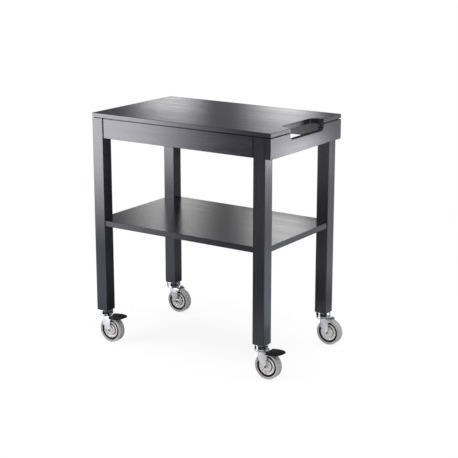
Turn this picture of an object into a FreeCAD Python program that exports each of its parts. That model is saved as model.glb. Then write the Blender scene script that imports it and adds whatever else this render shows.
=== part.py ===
import FreeCAD, Part
import math
import os
import re
import Sketcher
from FreeCAD import Placement, Rotation, Vector

# A two-tier cart: a board top with a hand slot, a notched shelf, square legs and four swivel castors.
# +Z is up and the floor is z = 0. +X points to the end with the hand slot, -Y to the front.
# The origin lies on the floor under the middle of the bounding box. All sizes are in millimetres.

DIMENSIONS = {
    # boards and legs
    "top_length": 800,
    "top_depth": 500,
    "top_thickness": 19,
    "leg_side": 50,
    "leg_length": 764,
    "frame_height": 75,
    "apron_thickness": 20,
    "apron_setback": 2,
    "end_thickness": 22,
    "shelf_thickness": 22,
    "shelf_rise": 366,
    "shelf_setback": 3,
    "shelf_fit": 0.3,
    "arris": 1,
    "leg_arris": 1.5,
    "shadow_gap": 4,
    "shadow_depth": 8,
    "groove_width": 3.5,
    "groove_depth": 4,
    # hand slot in the top and the notch under it
    "grip_width": 232,
    "grip_depth": 48,
    "grip_round": 30,
    "notch_drop": 24,
    "notch_round": 14,
    # joints in the wood
    "tenon_length": 40,
    "tenon_width": 45,
    "tenon_thickness": 8,
    "tenon_fit": 0.1,
    "end_tenon_depth": 14,
    "end_tenon_inset": 30,
    "angle_flange": 28,
    "angle_width": 34,
    "angle_sheet": 2.5,
    "insert_diameter": 16,
    "insert_length": 32,
    # castor head and stem
    "stem_diameter": 12,
    "stem_length": 28,
    "stem_fit": 0.1,
    "head_diameter": 56,
    "head_height": 17.7,
    "head_bevel": 3,
    "cap_diameter": 52,
    "cap_height": 4,
    "king_pin_diameter": 10,
    "king_pin_fit": 0.05,
    "rivet_diameter": 18,
    "rivet_height": 1.8,
    "swivel_gap": 0.3,
    # fork
    "castor_trail": 30,
    "fork_sheet": 2.5,
    "fork_side_gap": 2.5,
    "fork_bend": 2.5,
    "fork_front": 4,
    "fork_front_low": 1,
    "fork_shoulder_rise": 20,
    "fork_boss_radius": 11,
    "crown_clearance": 3.5,
    "crown_diameter": 53,
    "web_reach": 31,
    "tail_width": 20,
    "tail_length": 14,
    "tail_angle": 42,
    # wheel
    "wheel_diameter": 100,
    "tyre_width": 30,
    "tread_bevel": 1.5,
    "rim_diameter": 79,
    "rim_wall": 5.5,
    "rim_width": 26,
    "rim_web": 8,
    "bush_diameter": 20,
    "bush_fit": 0.05,
    "side_play": 0.3,
    "cover_sheet": 2,
    "cover_recess": 0.5,
    "cover_fit": 0.1,
    "cover_step_diameter": 43,
    "cover_dish": 5,
    # axle
    "axle_diameter": 8,
    "axle_head_diameter": 13,
    "axle_head_height": 3,
    "axle_socket": 2.9,
    "axle_socket_depth": 2,
    "axle_tail": 2,
    "nut_height": 6,
    # brake on the two front castors
    "pedal_reach": 98,
    "pedal_depth": 17,
    "pedal_wall": 2.2,
    "pedal_side_gap": 0.3,
    "pedal_ceiling": 4.9,
    "pedal_slot": 9,
    "pedal_tip_round": 7,
    "brake_pin_reach": 35,
    "brake_pin_diameter": 4,
    "brake_pin_fit": 0.05,
    "brake_pin_gap": 0.5,
    "brake_pin_head": 7,
    "brake_pin_head_height": 1.2,
    "brake_angle": 12,
    "shoe_length": 10,
    "shoe_width": 20,
    "shoe_gap": 0.4,
    # how far a cut or its outline runs past the piece
    "overrun": 5,
}

# Sizes and places that follow from the ones above.
DERIVED = {
    "left_end": "-(swivel_inset_right + pedal_reach + leg_side / 2 - head_diameter / 2) / 2",
    "swivel_inset_right": "top_length - end_thickness - leg_side / 2",
    "frame_length": "top_length - end_thickness",
    "frame_bottom": "castor_height + leg_length - frame_height",
    "frame_top": "castor_height + leg_length",
    "apron_length": "frame_length - 2 * leg_side",
    "side_length": "top_depth - 2 * leg_side",
    "apron_middle": "apron_setback + apron_thickness / 2",
    "shelf_under": "castor_height + shelf_rise - shelf_thickness",
    "shelf_notch": "leg_side + shelf_fit",
    "slot_near": "(top_depth - grip_width) / 2",
    "slot_far": "(top_depth + grip_width) / 2",
    "tenon_low": "(frame_height - tenon_width) / 2",
    "wheel_radius": "wheel_diameter / 2",
    "crown_under": "wheel_diameter + crown_clearance",
    "crown_top": "crown_under + fork_sheet",
    "cap_bottom": "crown_top + swivel_gap",
    "cap_top": "cap_bottom + cap_height",
    "castor_height": "cap_top + head_height",
    "fork_inner": "tyre_width / 2 + fork_side_gap",
    "fork_outer": "fork_inner + fork_sheet",
    "fork_low": "wheel_radius - fork_boss_radius",
    "fork_rear": "castor_trail + fork_boss_radius",
    "hub_half": "fork_inner - side_play",
    "rim_radius": "rim_diameter / 2",
    "rim_inner": "rim_radius - rim_wall",
    "cover_face": "rim_width / 2 - cover_recess",
    "cover_edge": "rim_inner - cover_fit",
    "cover_bore": "bush_diameter / 2 + cover_fit",
    "axle_bore": "axle_diameter / 2 + bush_fit",
    "pin_drop": "wheel_radius + brake_pin_gap + brake_pin_diameter / 2",
    "pin_offset": "brake_pin_reach - castor_trail",
    "brake_pin_rise": "sqrt(pin_drop * pin_drop - pin_offset * pin_offset)",
    "brake_pin_level": "wheel_radius + brake_pin_rise",
    "pedal_length": "pedal_reach - brake_pin_reach",
    "pedal_inner": "fork_outer + pedal_side_gap",
    "pedal_outer": "pedal_inner + pedal_wall",
}

CORNERS = {
    "front_left": {"left": True, "front": True},
    "front_right": {"left": False, "front": True},
    "back_left": {"left": True, "front": False},
    "back_right": {"left": False, "front": False},
}
BRAKED = ("front_left", "front_right")

# Where the top's brackets stand along their aprons, as shares of the apron's length.
BRACKET_SHARES = (0.2, 0.8)
# The pedal's side, from the brake pin: shares of the pedal's length and of its depth.
PEDAL_SIDE_SHARES = (
    (-0.09, -0.24), (-0.09, 0.22), (-0.03, 0.34), (0.41, 0.57), (0.83, 0.63), (1.0, 0.51),
    (1.0, 0.31), (0.86, 0.10), (0.53, -0.27), (0.21, -0.37), (0.0, -0.37),
)
# Half of the pedal's outline seen from above: shares of its length and of its half width.
PEDAL_PLAN_SHARES = ((-0.2, 1.0), (0.3, 1.0), (0.83, 0.78), (1.0, 0.42))
PEDAL_HOLLOW_SHARES = ((-0.2, 1.0), (0.29, 1.0), (0.78, 0.76), (0.87, 0.40))

# Two measured places nearer than this are the same place.
CLOSE = 0.01
# Where the slope of a fork's cheek meets its boss, roughly: the sketch finds the exact point.
TOUCH_DEGREES = 220

document = FreeCAD.newDocument("cart")
sheet = document.addObject("Spreadsheet::Sheet", "Sizes")
nodes = []


def fill_sheet():
    """Writes each driving size into a row of its own and gives its cell the size's name."""
    for row, (name, value) in enumerate(DIMENSIONS.items(), 1):
        sheet.set(f"A{row}", name)
        sheet.set(f"B{row}", str(value))
        sheet.setAlias(f"B{row}", name)
    document.recompute()


def formula(text):
    """Turns the plain names in a formula into cell references."""
    def swap(match):
        word = match.group(0)
        if word in DERIVED:
            return "(" + formula(DERIVED[word]) + ")"
        return "Sizes." + word if word in DIMENSIONS else word
    return re.sub(r"[a-z][a-z_]*", swap, text)


def size(text):
    """The value of a formula."""
    return float(sheet.evalExpression(formula(text)))


def close(one, other):
    return abs(one - other) < CLOSE


def bind(thing, **formulas):
    for name, text in formulas.items():
        thing.setExpression(name, formula(text))


def place(thing, across, along, up, axis=Vector(0, 0, 1), turn=0):
    """Puts a sub-part's own origin at a point of the cart and turns it about an axis."""
    thing.Placement = Placement(Vector(0, 0, 0), Rotation(axis, turn))
    for name, text in (("x", across), ("y", along), ("z", up)):
        thing.setExpression(f"Placement.Base.{name}", formula(text))


def node(thing, label):
    thing.Label = label
    nodes.append(thing)
    return thing


def new_body(label):
    return node(document.addObject("PartDesign::Body", "Body_" + label), label)


def sketch_on(body, plane, name, offset="0"):
    """A sketch on one of the body's own origin planes, moved along the plane's normal."""
    sketch = body.newObject("Sketcher::SketchObject", name)
    support = [item for item in body.Origin.OriginFeatures if item.Role == plane][0]
    sketch.AttachmentSupport = [(support, "")]
    sketch.MapMode = "FlatFace"
    sketch.setExpression("AttachmentOffset.Base.z", formula(offset))
    return sketch


def pin_point(sketch, geometry, vertex, across, along):
    """Holds a point of a sketch at two formulas, measured from the sketch's origin."""
    for kind, text in (("DistanceX", across), ("DistanceY", along)):
        rule = Sketcher.Constraint(kind, -1, 1, geometry, vertex, size(text))
        sketch.setExpression(f"Constraints[{sketch.addConstraint(rule)}]", formula(text))


def outline(sketch, points):
    """Closes a polygon through points, each a pair of formulas."""
    first = sketch.GeometryCount
    count = len(points)
    spots = [Vector(size(across), size(along), 0) for across, along in points]
    for number in range(count):
        sketch.addGeometry(Part.LineSegment(spots[number], spots[(number + 1) % count]), False)
    for number in range(count):
        following = first + (number + 1) % count
        sketch.addConstraint(Sketcher.Constraint("Coincident", first + number, 2, following, 1))
        pin_point(sketch, first + number, 1, *points[number])


def circle(sketch, across, along, radius):
    centre = Vector(size(across), size(along), 0)
    number = sketch.addGeometry(Part.Circle(centre, Vector(0, 0, 1), size(radius)), False)
    pin_point(sketch, number, 3, across, along)
    rule = sketch.addConstraint(Sketcher.Constraint("Radius", number, size(radius)))
    sketch.setExpression(f"Constraints[{rule}]", formula(radius))


def rectangle(sketch, left, low, right, high):
    outline(sketch, ((left, low), (right, low), (right, high), (left, high)))


def pad(body, sketch, name, length, symmetric=False):
    feature = body.newObject("PartDesign::Pad", name)
    feature.Profile = sketch
    feature.SideType = "Symmetric" if symmetric else "One side"
    bind(feature, Length=length)
    document.recompute()


def pocket(body, sketch, name, length=None, symmetric=False, reverse=False):
    """Cuts a sketch into the body, right through where no length is given, and checks that it cut."""
    before = body.Shape.Volume
    feature = body.newObject("PartDesign::Pocket", name)
    feature.Profile = sketch
    feature.SideType = "Symmetric" if symmetric else "One side"
    feature.Reversed = reverse
    if length:
        bind(feature, Length=length)
    else:
        feature.Type = "ThroughAll"
    document.recompute()
    if not feature.Shape.Volume < before - CLOSE:
        raise RuntimeError(f"{body.Label}: {name} cut nothing")


def revolve(body, sketch, name, axis):
    feature = body.newObject("PartDesign::Revolution", name)
    feature.Profile = sketch
    feature.ReferenceAxis = (sketch, [axis])
    feature.Angle = 360
    document.recompute()


def work_edges(body, kind, name, test, **sizes):
    """Fillets or chamfers each edge of the body whose bounding box passes the test."""
    base = body.Tip
    chosen = [f"Edge{number}" for number, edge in enumerate(base.Shape.Edges, 1) if test(edge.BoundBox)]
    if not chosen:
        raise RuntimeError(f"{body.Label}: {name} found no edge")
    feature = body.newObject("PartDesign::" + kind, name)
    feature.Base = (base, chosen)
    bind(feature, **sizes)
    document.recompute()


def round_edges(body, name, radius, test):
    work_edges(body, "Fillet", name, test, Radius=radius)


def bevel_edges(body, name, width, test):
    work_edges(body, "Chamfer", name, test, Size=width)


def runs_along(box, axis):
    """Whether an edge's bounding box is long on one axis only."""
    spans = {"x": box.XLength, "y": box.YLength, "z": box.ZLength}
    return spans.pop(axis) > CLOSE and max(spans.values()) < CLOSE


def top_board():
    body = new_body("top_board")
    sketch = sketch_on(body, "XY_Plane", "TopOutline")
    inner = "top_length - grip_depth"
    outline(sketch, (
        ("0", "0"), ("top_length", "0"), ("top_length", "slot_near"), (inner, "slot_near"),
        (inner, "slot_far"), ("top_length", "slot_far"), ("top_length", "top_depth"), ("0", "top_depth"),
    ))
    pad(body, sketch, "TopPad", "top_thickness")
    round_edges(body, "SlotCorners", "grip_round",
                lambda box: runs_along(box, "z") and close(box.XMax, size(inner)))
    bevel_edges(body, "TopArrises", "arris", lambda box: True)
    rebate = sketch_on(body, "XY_Plane", "ShadowRebate")
    rectangle(rebate, "-overrun", "-overrun", "top_length + overrun", "top_depth + overrun")
    rectangle(rebate, "shadow_depth", "shadow_depth", "top_length - shadow_depth", "top_depth - shadow_depth")
    pocket(body, rebate, "ShadowGap", "shadow_gap", reverse=True)
    place(body, "left_end", "-top_depth / 2", "frame_top")


def mortise(sketch, middle):
    """The mouth of a mortise, upright about a middle line, as high as the frame's tenons stand."""
    half = "(tenon_thickness / 2 + tenon_fit)"
    rectangle(sketch, f"{middle} - {half}", "tenon_low - tenon_fit",
              f"{middle} + {half}", "tenon_low + tenon_width + tenon_fit")


def handle_end_board():
    body = new_body("handle_end_board")
    sketch = sketch_on(body, "YZ_Plane", "EndOutline")
    low = "frame_height - notch_drop"
    outline(sketch, (
        ("0", "0"), ("top_depth", "0"), ("top_depth", "frame_height"), ("slot_far", "frame_height"),
        ("slot_far", low), ("slot_near", low), ("slot_near", "frame_height"), ("0", "frame_height"),
    ))
    pad(body, sketch, "EndPad", "end_thickness")
    round_edges(body, "NotchCorners", "notch_round",
                lambda box: runs_along(box, "x") and close(box.ZMax, size(low)))
    bevel_edges(body, "EndArrises", "arris", lambda box: True)
    mouths = sketch_on(body, "YZ_Plane", "EndMortises")
    for along in ("end_tenon_inset", "top_depth - end_tenon_inset"):
        mortise(mouths, along)
    pocket(body, mouths, "EndMortiseCuts", "end_tenon_depth", reverse=True)
    place(body, "left_end + frame_length", "-top_depth / 2", "frame_bottom")


def apron(label, length, across, along, turn, outer):
    """A rail between two legs, with a mortise in each end and a groove down each joint's outer side."""
    body = new_body(label)
    sketch = sketch_on(body, "YZ_Plane", "RailSection")
    rectangle(sketch, "-apron_thickness / 2", "0", "apron_thickness / 2", "frame_height")
    pad(body, sketch, "RailPad", length, symmetric=True)
    bevel_edges(body, "RailArrises", "arris", lambda box: runs_along(box, "x"))
    for end, side in (("Right", ""), ("Left", "-")):
        mouth = sketch_on(body, "YZ_Plane", end + "Mortise", f"{side}({length}) / 2")
        mortise(mouth, "0")
        pocket(body, mouth, end + "MortiseCut", "tenon_length / 2", reverse=side == "-")
    grooves = sketch_on(body, "XY_Plane", "JointGrooves")
    face, floor = f"{outer}apron_thickness", f"{outer}(apron_thickness / 2 - groove_depth)"
    for side in ("", "-"):
        near, far = f"{side}(({length}) / 2 - groove_width)", f"{side}(({length}) / 2 + overrun)"
        rectangle(grooves, near, floor, far, face)
    pocket(body, grooves, "GrooveCuts", reverse=True)
    place(body, across, along, "frame_bottom", turn=turn)


def corner_place(corner):
    """The axis of a leg and of the castor under it."""
    across = "left_end + leg_side / 2" if corner["left"] else "left_end + swivel_inset_right"
    along = "-(top_depth - leg_side) / 2" if corner["front"] else "(top_depth - leg_side) / 2"
    return across, along


def leg(name, corner):
    """A square leg hung from its top end, with mortises for the frame and a bore for the castor's sleeve."""
    body = new_body("leg_" + name)
    foot = "frame_height - leg_length"
    sketch = sketch_on(body, "XY_Plane", "LegSection", foot)
    rectangle(sketch, "-leg_side / 2", "-leg_side / 2", "leg_side / 2", "leg_side / 2")
    pad(body, sketch, "LegPad", "leg_length")
    bevel_edges(body, "LegArrises", "leg_arris", lambda box: runs_along(box, "z"))
    outer = "apron_middle - leg_side / 2"
    face = "leg_side / 2" if corner["left"] else "-leg_side / 2"
    mouth = sketch_on(body, "YZ_Plane", "LongRailMortise", face)
    mortise(mouth, outer if corner["front"] else f"-({outer})")
    pocket(body, mouth, "LongRailCut", "tenon_length / 2", reverse=not corner["left"])
    if corner["left"]:
        mouth = sketch_on(body, "XZ_Plane", "ShortRailMortise",
                          "-leg_side / 2" if corner["front"] else "leg_side / 2")
        mortise(mouth, outer)
        pocket(body, mouth, "ShortRailCut", "tenon_length / 2", reverse=corner["front"])
    else:
        inset = "end_tenon_inset - leg_side / 2"
        mouth = sketch_on(body, "YZ_Plane", "EndBoardMortise", "leg_side / 2")
        mortise(mouth, inset if corner["front"] else f"-({inset})")
        pocket(body, mouth, "EndBoardCut", "tenon_length - end_tenon_depth")
    socket = sketch_on(body, "XY_Plane", "SleeveHole", foot)
    circle(socket, "0", "0", "insert_diameter / 2")
    pocket(body, socket, "SleeveBore", "insert_length", reverse=True)
    place(body, *corner_place(corner), "frame_bottom")


def lower_shelf():
    """A shelf as wide and deep as the legs stand, notched round each of them."""
    body = new_body("lower_shelf")
    sketch = sketch_on(body, "XY_Plane", "ShelfOutline")
    low, notch = "shelf_setback", "shelf_notch"
    right, right_notch = "frame_length - shelf_setback", "frame_length - shelf_notch"
    back, back_notch = "top_depth - shelf_setback", "top_depth - shelf_notch"
    outline(sketch, (
        (notch, low), (right_notch, low), (right_notch, notch), (right, notch),
        (right, back_notch), (right_notch, back_notch), (right_notch, back), (notch, back),
        (notch, back_notch), (low, back_notch), (low, notch), (notch, notch),
    ))
    pad(body, sketch, "ShelfPad", "shelf_thickness")
    bevel_edges(body, "ShelfArrises", "arris", lambda box: not runs_along(box, "z") and (
        close(box.XMax, size(low)) or close(box.XMin, size(right))
        or close(box.YMax, size(low)) or close(box.YMin, size(back))))
    place(body, "left_end", "-top_depth / 2", "shelf_under")


def group(label, things):
    """One node for several alike pieces that stay separate solids."""
    compound = node(document.addObject("Part::Compound", "Group_" + label), label)
    compound.Links = things
    document.recompute()


def cylinder(name, radius, height):
    thing = document.addObject("Part::Cylinder", name)
    bind(thing, Radius=radius, Height=height)
    return thing


def tenon(across, along, lengthways):
    """A loose tenon from a corner of its box, long on the x or the y axis."""
    slip = document.addObject("Part::Box", "Tenon")
    if lengthways == "x":
        bind(slip, Length="tenon_length", Width="tenon_thickness", Height="tenon_width")
        place(slip, across, f"{along} - tenon_thickness / 2", "frame_bottom + tenon_low")
    else:
        bind(slip, Length="tenon_thickness", Width="tenon_length", Height="tenon_width")
        place(slip, f"{across} - tenon_thickness / 2", along, "frame_bottom + tenon_low")
    return slip


def frame_tenons():
    """The loose tenons of the rails' and the end board's joints."""
    tenons = []
    for side in ("-", ""):
        middle = f"{side}(top_depth / 2 - apron_middle)"
        for face in ("leg_side", "frame_length - leg_side"):
            tenons.append(tenon(f"left_end + {face} - tenon_length / 2", middle, "x"))
        inset = f"{side}(top_depth / 2 - end_tenon_inset)"
        tenons.append(tenon("left_end + frame_length + end_tenon_depth - tenon_length", inset, "x"))
        face = f"{side}(top_depth / 2 - leg_side) - tenon_length / 2"
        tenons.append(tenon("left_end + apron_middle", face, "y"))
    group("frame_tenons", tenons)


def angle_bracket(name, across, along, up, turn):
    """A bent steel angle: its corner at the origin, one flange down a wall, one under a board."""
    body = document.addObject("PartDesign::Body", name)
    sketch = sketch_on(body, "YZ_Plane", "AngleSection")
    outline(sketch, (
        ("0", "0"), ("0", "-angle_flange"), ("angle_sheet", "-angle_flange"),
        ("angle_sheet", "-angle_sheet"), ("angle_flange", "-angle_sheet"), ("angle_flange", "0"),
    ))
    pad(body, sketch, "AnglePad", "angle_width", symmetric=True)
    round_edges(body, "AngleBend", "angle_sheet",
                lambda box: runs_along(box, "x") and close(box.YMax, 0) and close(box.ZMax, 0))
    place(body, across, along, up, turn=turn)
    return body


def top_brackets():
    """Angles that hold the top down on its rails, two to a rail."""
    inside = "apron_setback + apron_thickness"
    brackets = []
    for share in BRACKET_SHARES:
        across = f"left_end + leg_side + apron_length * {share}"
        brackets.append(angle_bracket("TopAngle", across, f"{inside} - top_depth / 2", "frame_top", 0))
        brackets.append(angle_bracket("TopAngle", across, f"top_depth / 2 - ({inside})", "frame_top", 180))
        along = f"side_length * ({share} - 1 / 2)"
        brackets.append(angle_bracket("TopAngle", f"left_end + {inside}", along, "frame_top", -90))
    group("top_brackets", brackets)


def shelf_brackets():
    """One angle on each leg, under the shelf: behind the front legs and between the back legs."""
    brackets = []
    for corner in CORNERS.values():
        across, along = corner_place(corner)
        if corner["front"]:
            along, turn = "leg_side - top_depth / 2", 0
        elif corner["left"]:
            across, turn = "left_end + leg_side", -90
        else:
            across, turn = "left_end + frame_length - leg_side", 90
        brackets.append(angle_bracket("ShelfAngle", across, along, "shelf_under", turn))
    group("shelf_brackets", brackets)


def leg_inserts():
    """Steel sleeves in the legs' feet, which take the castors' stems."""
    inserts = []
    for corner in CORNERS.values():
        sleeve = cylinder("Sleeve", "insert_diameter / 2", "insert_length")
        hole = cylinder("SleeveHole", "stem_diameter / 2 + stem_fit", "insert_length")
        insert = document.addObject("Part::Cut", "Insert")
        insert.Base = sleeve
        insert.Tool = hole
        place(insert, *corner_place(corner), "castor_height")
        inserts.append(insert)
    group("leg_inserts", inserts)


def turned_heads(label, points):
    """One turned piece above each castor's swivel axis: points are pairs of radius and height."""
    turnings = []
    for corner in CORNERS.values():
        body = document.addObject("PartDesign::Body", "Turned_" + label)
        sketch = sketch_on(body, "XZ_Plane", "Profile")
        outline(sketch, points)
        revolve(body, sketch, "Turning", "V_Axis")
        place(body, *corner_place(corner), "0")
        turnings.append(body)
    group(label, turnings)


def castor_heads():
    """The fixed heads: stem, turned disc under the leg, and the riveted pin that the fork turns on."""
    rivet_top = "crown_under - swivel_gap"
    turned_heads("castor_heads", (
        ("0", f"{rivet_top} - rivet_height"), ("rivet_diameter / 2", f"{rivet_top} - rivet_height"),
        ("rivet_diameter / 2", rivet_top), ("king_pin_diameter / 2", rivet_top),
        ("king_pin_diameter / 2", "cap_top"), ("head_diameter / 2 - head_bevel", "cap_top"),
        ("head_diameter / 2", "cap_top + head_bevel"), ("head_diameter / 2", "castor_height"),
        ("stem_diameter / 2", "castor_height"), ("stem_diameter / 2", "castor_height + stem_length"),
        ("0", "castor_height + stem_length"),
    ))


def swivel_caps():
    """The pressed rings that close the swivel races, just clear of the forks' crowns."""
    bore, edge = "king_pin_diameter / 2 + king_pin_fit", "cap_diameter / 2"
    turned_heads("swivel_caps", (
        (bore, "cap_bottom"), (edge, "cap_bottom"), (edge, "cap_top"), (bore, "cap_top"),
    ))


def fork_side(sketch):
    """The outline of a fork's cheek: steep front edge, slope to the axle, round boss, upright back."""
    high = size("crown_top + overrun")
    axle, radius = size("wheel_radius"), size("fork_boss_radius")
    trail, rear = size("castor_trail"), size("fork_rear")
    start = math.radians(TOUCH_DEGREES)
    nose = Vector(-size("fork_front"), high, 0)
    shoulder = Vector(-size("fork_front_low"), axle + size("fork_shoulder_rise"), 0)
    boss = Part.Circle(Vector(trail, axle, 0), Vector(0, 0, 1), radius)
    touch = Vector(trail + radius * math.cos(start), axle + radius * math.sin(start), 0)
    lines = (
        Part.LineSegment(nose, shoulder), Part.LineSegment(shoulder, touch),
        Part.ArcOfCircle(boss, start, math.tau),
        Part.LineSegment(Vector(rear, axle, 0), Vector(rear, high, 0)),
        Part.LineSegment(Vector(rear, high, 0), nose),
    )
    first = sketch.GeometryCount
    for line in lines:
        sketch.addGeometry(line, False)
    front, slope, round_boss, back, lid = range(first, first + 5)
    for one, other in ((front, slope), (back, lid), (lid, front)):
        sketch.addConstraint(Sketcher.Constraint("Coincident", one, 2, other, 1))
    sketch.addConstraint(Sketcher.Constraint("Tangent", slope, 2, round_boss, 1))
    sketch.addConstraint(Sketcher.Constraint("Coincident", round_boss, 2, back, 1))
    pin_point(sketch, front, 1, "-fork_front", "crown_top + overrun")
    pin_point(sketch, slope, 1, "-fork_front_low", "wheel_radius + fork_shoulder_rise")
    pin_point(sketch, round_boss, 3, "castor_trail", "wheel_radius")
    pin_point(sketch, back, 1, "fork_rear", "wheel_radius")
    pin_point(sketch, back, 2, "fork_rear", "crown_top + overrun")


def fork(name, corner):
    """A pressed fork: a bent channel cut to the cheeks' outline, with a round crown and an upturned tail."""
    body = new_body("fork_" + name)
    channel = sketch_on(body, "YZ_Plane", "Channel", "-fork_front")
    outline(channel, (
        ("-fork_outer", "fork_low"), ("-fork_outer", "crown_top"), ("fork_outer", "crown_top"),
        ("fork_outer", "fork_low"), ("fork_inner", "fork_low"), ("fork_inner", "crown_under"),
        ("-fork_inner", "crown_under"), ("-fork_inner", "fork_low"),
    ))
    pad(body, channel, "ChannelPad", "fork_front + fork_rear")
    round_edges(body, "OuterBends", "fork_bend + fork_sheet",
                lambda box: runs_along(box, "x") and close(box.ZMin, size("crown_top")))
    round_edges(body, "InnerBends", "fork_bend",
                lambda box: runs_along(box, "x") and close(box.ZMin, size("crown_under")))
    trim = sketch_on(body, "XZ_Plane", "CheekOutline")
    rectangle(trim, "-fork_front - overrun", "fork_low - overrun",
              "fork_rear + overrun", "crown_top + 2 * overrun")
    fork_side(trim)
    pocket(body, trim, "CheekTrim", symmetric=True)
    opening = sketch_on(body, "XY_Plane", "WebEnd", "crown_top")
    rectangle(opening, "web_reach", "-fork_inner", "fork_rear + overrun", "fork_inner")
    pocket(body, opening, "WebCut", "fork_sheet + overrun")
    crown = sketch_on(body, "XY_Plane", "Crown", "crown_under")
    circle(crown, "0", "0", "crown_diameter / 2")
    pad(body, crown, "CrownPad", "fork_sheet")
    tail = sketch_on(body, "XZ_Plane", "Tail")
    rise, run = "tail_length * sin(tail_angle)", "tail_length * cos(tail_angle)"
    down, back = "fork_sheet * cos(tail_angle)", "fork_sheet * sin(tail_angle)"
    outline(tail, (
        ("web_reach - fork_sheet", "crown_under"), ("web_reach", "crown_under"),
        (f"web_reach + {run}", f"crown_under + {rise}"),
        (f"web_reach + {run} - {back}", f"crown_under + {rise} + {down}"),
        ("web_reach - fork_sheet", "crown_top"),
    ))
    pad(body, tail, "TailPad", "tail_width", symmetric=True)
    pin_hole = sketch_on(body, "XY_Plane", "KingPinHole", "crown_top")
    circle(pin_hole, "0", "0", "king_pin_diameter / 2 + king_pin_fit")
    pocket(body, pin_hole, "KingPinBore", "fork_sheet + overrun")
    holes = sketch_on(body, "XZ_Plane", "PinHoles")
    circle(holes, "castor_trail", "wheel_radius", "axle_diameter / 2")
    if name in BRAKED:
        circle(holes, "brake_pin_reach", "brake_pin_level", "brake_pin_diameter / 2")
    pocket(body, holes, "PinBores", symmetric=True)
    place(body, *corner_place(corner), "0")


def axle_place(corner):
    across, along = corner_place(corner)
    return f"{across} + castor_trail", along, "wheel_radius"


def axle_bolt(name, corner):
    """A socket-head bolt through the fork's bosses, with its nut as a second solid."""
    bolt = document.addObject("PartDesign::Body", "Bolt_" + name)
    sketch = sketch_on(bolt, "YZ_Plane", "BoltProfile")
    end = "fork_outer + nut_height + axle_tail"
    outline(sketch, (
        ("-fork_outer - axle_head_height", "0"), ("-fork_outer - axle_head_height", "axle_head_diameter / 2"),
        ("-fork_outer", "axle_head_diameter / 2"), ("-fork_outer", "axle_diameter / 2"),
        (end, "axle_diameter / 2"), (end, "0"),
    ))
    revolve(bolt, sketch, "BoltTurning", "H_Axis")
    socket = sketch_on(bolt, "XZ_Plane", "Socket", "fork_outer + axle_head_height")
    half = "axle_socket / 2"
    far = "axle_socket * sqrt(3) / 2"
    outline(socket, (("axle_socket", "0"), (half, far), (f"-{half}", far),
                     ("-axle_socket", "0"), (f"-{half}", f"-{far}"), (half, f"-{far}")))
    pocket(bolt, socket, "SocketCut", "axle_socket_depth")
    place(bolt, *axle_place(corner))
    blank = document.addObject("Part::Prism", "NutBlank_" + name)
    bind(blank, Circumradius="axle_head_diameter / 2", Height="nut_height")
    hole = cylinder("NutHole_" + name, "axle_diameter / 2", "nut_height")
    nut = document.addObject("Part::Cut", "Nut_" + name)
    nut.Base = blank
    nut.Tool = hole
    across, along, up = axle_place(corner)
    place(nut, across, f"{along} + fork_outer", up, Vector(1, 0, 0), -90)
    group("axle_bolt_" + name, [bolt, nut])


def wheel_piece(label, corner, name, points):
    """A turned piece of the wheel: points are pairs of place along the axle and radius."""
    body = new_body(label)
    sketch = sketch_on(body, "YZ_Plane", name)
    outline(sketch, points)
    revolve(body, sketch, name + "Turning", "H_Axis")
    place(body, *axle_place(corner))
    return body


def hub_bush(name, corner):
    wheel_piece("hub_bush_" + name, corner, "Bush", (
        ("-hub_half", "axle_bore"), ("hub_half", "axle_bore"),
        ("hub_half", "bush_diameter / 2"), ("-hub_half", "bush_diameter / 2"),
    ))


def rim(name, corner):
    """Thin web and ring, turned as one piece round the bush."""
    ring, web, bore = "rim_width / 2", "rim_web / 2", "bush_diameter / 2"
    wheel_piece("rim_" + name, corner, "Rim", (
        (f"-{web}", bore), (web, bore), (web, "rim_inner"), (ring, "rim_inner"), (ring, "rim_radius"),
        (f"-{ring}", "rim_radius"), (f"-{ring}", "rim_inner"), (f"-{web}", "rim_inner"),
    ))


def wheel_cover(name, corner, label, side):
    """A moulded disc, dished round the bush, that presses into the rim's ring."""
    step, floor = "cover_step_diameter / 2", "(cover_face - cover_dish)"
    under = f"{side}({floor} - cover_sheet)"
    wheel_piece(f"{label}_{name}", corner, "Cover", (
        (f"{side}cover_face", "cover_edge"), (f"{side}cover_face", step),
        (f"{side}{floor}", f"{step} - cover_sheet / 2"), (f"{side}{floor}", "cover_bore"),
        (under, "cover_bore"), (under, "cover_edge"),
    ))


def tyre(name, corner):
    """A solid tyre on the rim, with walls that widen to a bevelled tread."""
    wall, shoulder = "tyre_width / 2", "wheel_radius - tread_bevel"
    tread = f"({wall} - tread_bevel)"
    wheel_piece("tyre_" + name, corner, "Tyre", (
        ("-rim_width / 2", "rim_radius"), ("rim_width / 2", "rim_radius"), (wall, shoulder),
        (tread, "wheel_radius"), (f"-{tread}", "wheel_radius"), (f"-{wall}", shoulder),
    ))


def brake_place(corner):
    across, along = corner_place(corner)
    return f"{across} + brake_pin_reach", along, "brake_pin_level"


def mirrored_outline(half):
    """A closed outline from its upper half, mirrored in the sketch's first axis."""
    return tuple(half) + tuple((across, f"-({along})") for across, along in reversed(half))


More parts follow.
